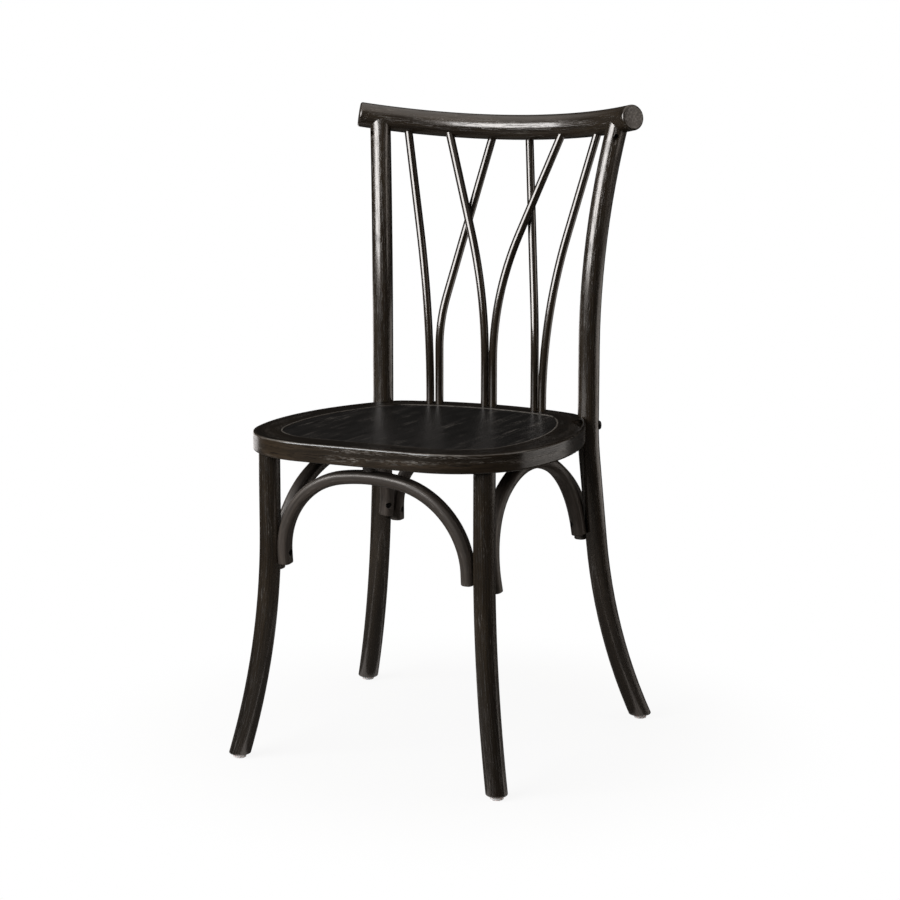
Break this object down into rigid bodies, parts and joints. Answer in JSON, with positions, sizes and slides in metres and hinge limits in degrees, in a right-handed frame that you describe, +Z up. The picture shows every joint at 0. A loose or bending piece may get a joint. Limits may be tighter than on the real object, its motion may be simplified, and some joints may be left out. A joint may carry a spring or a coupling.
{
  "type": "bentwood chair",
  "caption": "Bentwood dining chair with a flat panelled seat, bowed round top rail, crossing bent spindles and arched braces between its splayed round legs.",
  "frame": {"origin": "centre of the chair's plan box at floor level, under the glides", "axes": "+Z up, the chair faces -Y, +X to the right of someone who looks at its front"},
  "size_m": [0.4832, 0.4862, 0.8864],
  "materials": {
    "dark_wood": "black-brown stain, satin lacquer",
    "panel_wood": "black stain, satin lacquer",
    "glide_plastic": "matte",
    "black_fasteners": "black, satin",
    "steel": "bright"
  },
  "bodies": {
    "root": {"seat_frame": "dark_wood", "front_leg_left": "dark_wood", "front_leg_right": "dark_wood", "rear_leg_left": "dark_wood", "rear_leg_right": "dark_wood", "top_rail": "dark_wood", "spindle_a_outer": "dark_wood", "spindle_a_inner": "dark_wood", "spindle_b_left": "dark_wood", "spindle_b_right": "dark_wood", "spindle_c_inner": "dark_wood", "spindle_c_outer": "dark_wood", "front_brace": "dark_wood", "rear_brace": "dark_wood", "left_brace": "dark_wood", "right_brace": "dark_wood", "brace_spacers": "dark_wood", "seat_panel": "panel_wood", "glide_front_left": "glide_plastic", "glide_front_right": "glide_plastic", "glide_rear_left": "glide_plastic", "glide_rear_right": "glide_plastic", "brace_leg_screws": "black_fasteners", "brace_seat_screws": "black_fasteners", "rail_screws": "black_fasteners", "seat_bolts": "black_fasteners", "barrel_nuts": "steel", "glide_nails": "steel"}
  },
  "joints": []
}
